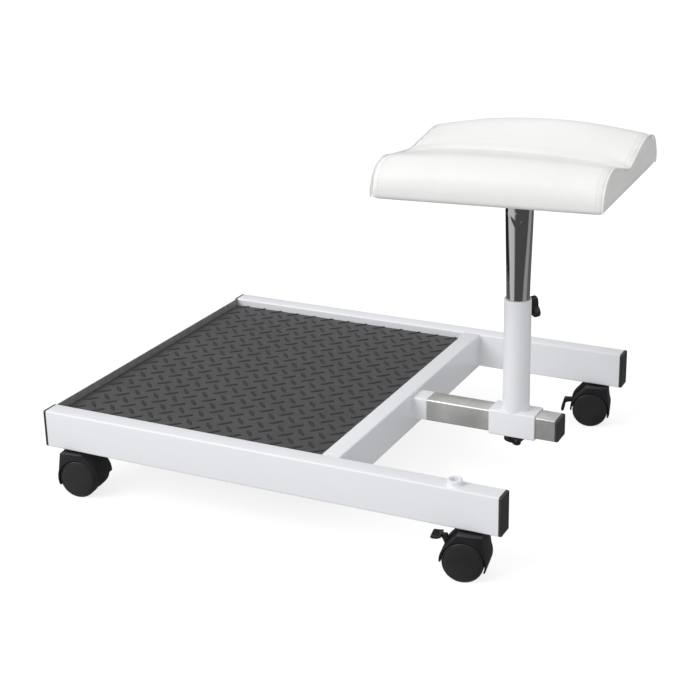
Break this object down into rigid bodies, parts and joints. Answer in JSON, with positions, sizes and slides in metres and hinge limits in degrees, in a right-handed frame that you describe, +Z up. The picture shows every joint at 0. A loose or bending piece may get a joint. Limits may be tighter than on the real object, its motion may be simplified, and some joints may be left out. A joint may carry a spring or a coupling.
{
  "type": "pedicure stool",
  "caption": "Wheeled white frame with a ribbed rubber foot platform and a padded leg rest on a sliding, height-adjustable, swivelling column.",
  "frame": {"origin": "on the floor below the middle of the whole stool, with the leg rest where it is stored", "axes": "+X along the side rails from the platform towards the leg rest, -Y the front side with the lamp socket, +Z up"},
  "size_m": [0.7038, 0.5313, 0.468],
  "materials": {
    "white_powder_coat": "smooth semi-gloss white powder coat over steel tube",
    "grey_sheet_steel": "dull grey zinc-coated sheet steel",
    "tread_rubber": "matt black rubber with raised treads",
    "cap_plastic": "satin black moulded plastic",
    "brushed_steel": "brushed stainless steel, grain along the bar",
    "post_chrome": "bright chrome plating",
    "zinc_steel": "bright zinc-plated steel",
    "pad_plastic": "natural nylon",
    "knob_plastic": "satin black moulded plastic",
    "plywood": "raw birch plywood",
    "white_leatherette": "soft white leatherette with a fine grain",
    "caster_plastic": "satin black nylon",
    "wheel_plastic": "black nylon, slightly glossy discs"
  },
  "bodies": {
    "frame": {"rail_front": "white_powder_coat", "rail_rear": "white_powder_coat", "crossbar": "white_powder_coat", "end_crossbar": "white_powder_coat", "tray": "grey_sheet_steel", "tray_ledges": "white_powder_coat", "tread_mat": "tread_rubber", "cap_front_left": "cap_plastic", "cap_front_right": "cap_plastic", "cap_rear_left": "cap_plastic", "cap_rear_right": "cap_plastic", "lamp_socket": "white_powder_coat", "slide_bar": "brushed_steel", "slide_bar_cap": "cap_plastic", "stem_nuts": "zinc_steel", "front_left_stem": "zinc_steel", "front_right_stem": "zinc_steel", "rear_left_stem": "zinc_steel", "rear_right_stem": "zinc_steel"},
    "carriage": {"sleeve": "white_powder_coat", "column": "white_powder_coat", "column_weld": "white_powder_coat"},
    "height_clamp_tip": {"height_tip": "pad_plastic"},
    "height_clamp_knob": {"height_screw": "zinc_steel", "height_knob": "knob_plastic"},
    "slide_clamp_tip": {"slide_tip": "pad_plastic"},
    "slide_clamp_knob": {"slide_screw": "zinc_steel", "slide_knob": "knob_plastic"},
    "lift": {"post_foot": "cap_plastic"},
    "leg_rest": {"post": "post_chrome", "mount_plate": "zinc_steel", "plate_screws": "zinc_steel", "cushion_board": "plywood", "cushion": "white_leatherette"},
    "front_left_caster": {"front_left_hood": "caster_plastic", "front_left_axle": "zinc_steel"},
    "front_left_wheel_outer": {"front_left_wheel_outer": "wheel_plastic"},
    "front_left_wheel_inner": {"front_left_wheel_inner": "wheel_plastic"},
    "front_right_caster": {"front_right_hood": "caster_plastic", "front_right_axle": "zinc_steel", "front_right_brake_pin": "zinc_steel"},
    "front_right_wheel_outer": {"front_right_wheel_outer": "wheel_plastic"},
    "front_right_wheel_inner": {"front_right_wheel_inner": "wheel_plastic"},
    "front_right_brake_lever": {"front_right_brake": "caster_plastic"},
    "rear_left_caster": {"rear_left_hood": "caster_plastic", "rear_left_axle": "zinc_steel"},
    "rear_left_wheel_outer": {"rear_left_wheel_outer": "wheel_plastic"},
    "rear_left_wheel_inner": {"rear_left_wheel_inner": "wheel_plastic"},
    "rear_right_caster": {"rear_right_hood": "caster_plastic", "rear_right_axle": "zinc_steel", "rear_right_brake_pin": "zinc_steel"},
    "rear_right_wheel_outer": {"rear_right_wheel_outer": "wheel_plastic"},
    "rear_right_wheel_inner": {"rear_right_wheel_inner": "wheel_plastic"},
    "rear_right_brake_lever": {"rear_right_brake": "caster_plastic"}
  },
  "joints": [
    {"name": "carriage_slide", "type": "slide", "parent": "frame", "child": "carriage", "axis": [1, 0, 0], "range_m": [-0.085, 0.025]},
    {"name": "height_clamp_travel", "type": "slide", "parent": "carriage", "child": "height_clamp_tip", "axis": [0.5, 0.866, 0], "range_m": [0, 0.0025]},
    {"name": "height_clamp_turn", "type": "hinge", "parent": "height_clamp_tip", "child": "height_clamp_knob", "pos_m": [0.22403, 0.03464, 0.244], "axis": [0.5, 0.866, 0], "range_deg": [0, 720]},
    {"name": "slide_clamp_travel", "type": "slide", "parent": "carriage", "child": "slide_clamp_tip", "axis": [0, 0, -1], "range_m": [0, 0.0025]},
    {"name": "slide_clamp_turn", "type": "hinge", "parent": "slide_clamp_tip", "child": "slide_clamp_knob", "pos_m": [0.20403, 0, 0.067], "axis": [0, 0, -1], "range_deg": [0, 720]},
    {"name": "height_slide", "type": "slide", "parent": "carriage", "child": "lift", "axis": [0, 0, 1], "range_m": [-0.0075, 0.085]},
    {"name": "leg_rest_swivel", "type": "hinge", "parent": "lift", "child": "leg_rest", "pos_m": [0.20403, 0, 0.312], "axis": [0, 0, 1], "continuous": true},
    {"name": "front_left_swivel", "type": "hinge", "parent": "frame", "child": "front_left_caster", "pos_m": [-0.32297, -0.2405, 0.052], "axis": [0, 0, 1], "continuous": true},
    {"name": "front_left_outer_roll", "type": "hinge", "parent": "front_left_caster", "child": "front_left_wheel_outer", "pos_m": [-0.30514, -0.238, 0.025], "axis": [0.1392, -0.9903, 0], "continuous": true},
    {"name": "front_left_inner_roll", "type": "hinge", "parent": "front_left_caster", "child": "front_left_wheel_inner", "pos_m": [-0.30514, -0.238, 0.025], "axis": [0.1392, -0.9903, 0], "continuous": true},
    {"name": "front_right_swivel", "type": "hinge", "parent": "frame", "child": "front_right_caster", "pos_m": [0.25103, -0.2405, 0.052], "axis": [0, 0, 1], "continuous": true},
    {"name": "front_right_outer_roll", "type": "hinge", "parent": "front_right_caster", "child": "front_right_wheel_outer", "pos_m": [0.23331, -0.24363, 0.025], "axis": [-0.1736, 0.9848, 0], "continuous": true},
    {"name": "front_right_inner_roll", "type": "hinge", "parent": "front_right_caster", "child": "front_right_wheel_inner", "pos_m": [0.23331, -0.24363, 0.025], "axis": [-0.1736, 0.9848, 0], "continuous": true},
    {"name": "front_right_brake_press", "type": "hinge", "parent": "front_right_caster", "child": "front_right_brake_lever", "pos_m": [0.21361, -0.2471, 0.033], "axis": [0.1736, -0.9848, 0], "range_deg": [0, 75]},
    {"name": "rear_left_swivel", "type": "hinge", "parent": "frame", "child": "rear_left_caster", "pos_m": [-0.32297, 0.2405, 0.052], "axis": [0, 0, 1], "continuous": true},
    {"name": "rear_left_outer_roll", "type": "hinge", "parent": "rear_left_caster", "child": "rear_left_wheel_outer", "pos_m": [-0.30507, 0.23862, 0.025], "axis": [-0.1045, -0.9945, 0], "continuous": true},
    {"name": "rear_left_inner_roll", "type": "hinge", "parent": "rear_left_caster", "child": "rear_left_wheel_inner", "pos_m": [-0.30507, 0.23862, 0.025], "axis": [-0.1045, -0.9945, 0], "continuous": true},
    {"name": "rear_right_swivel", "type": "hinge", "parent": "frame", "child": "rear_right_caster", "pos_m": [0.25103, 0.2405, 0.052], "axis": [0, 0, 1], "continuous": true},
    {"name": "rear_right_outer_roll", "type": "hinge", "parent": "rear_right_caster", "child": "rear_right_wheel_outer", "pos_m": [0.23357, 0.23614, 0.025], "axis": [-0.2419, 0.9703, 0], "continuous": true},
    {"name": "rear_right_inner_roll", "type": "hinge", "parent": "rear_right_caster", "child": "rear_right_wheel_inner", "pos_m": [0.23357, 0.23614, 0.025], "axis": [-0.2419, 0.9703, 0], "continuous": true},
    {"name": "rear_right_brake_press", "type": "hinge", "parent": "rear_right_caster", "child": "rear_right_brake_lever", "pos_m": [0.21416, 0.23131, 0.033], "axis": [0.2419, -0.9703, 0], "range_deg": [-75, 0]}
  ],
  "couplings": [
    {"joint": "height_clamp_turn", "follows": "height_clamp_travel", "rad_per_m": 5026.5},
    {"joint": "slide_clamp_turn", "follows": "slide_clamp_travel", "rad_per_m": 5026.5}
  ]
}
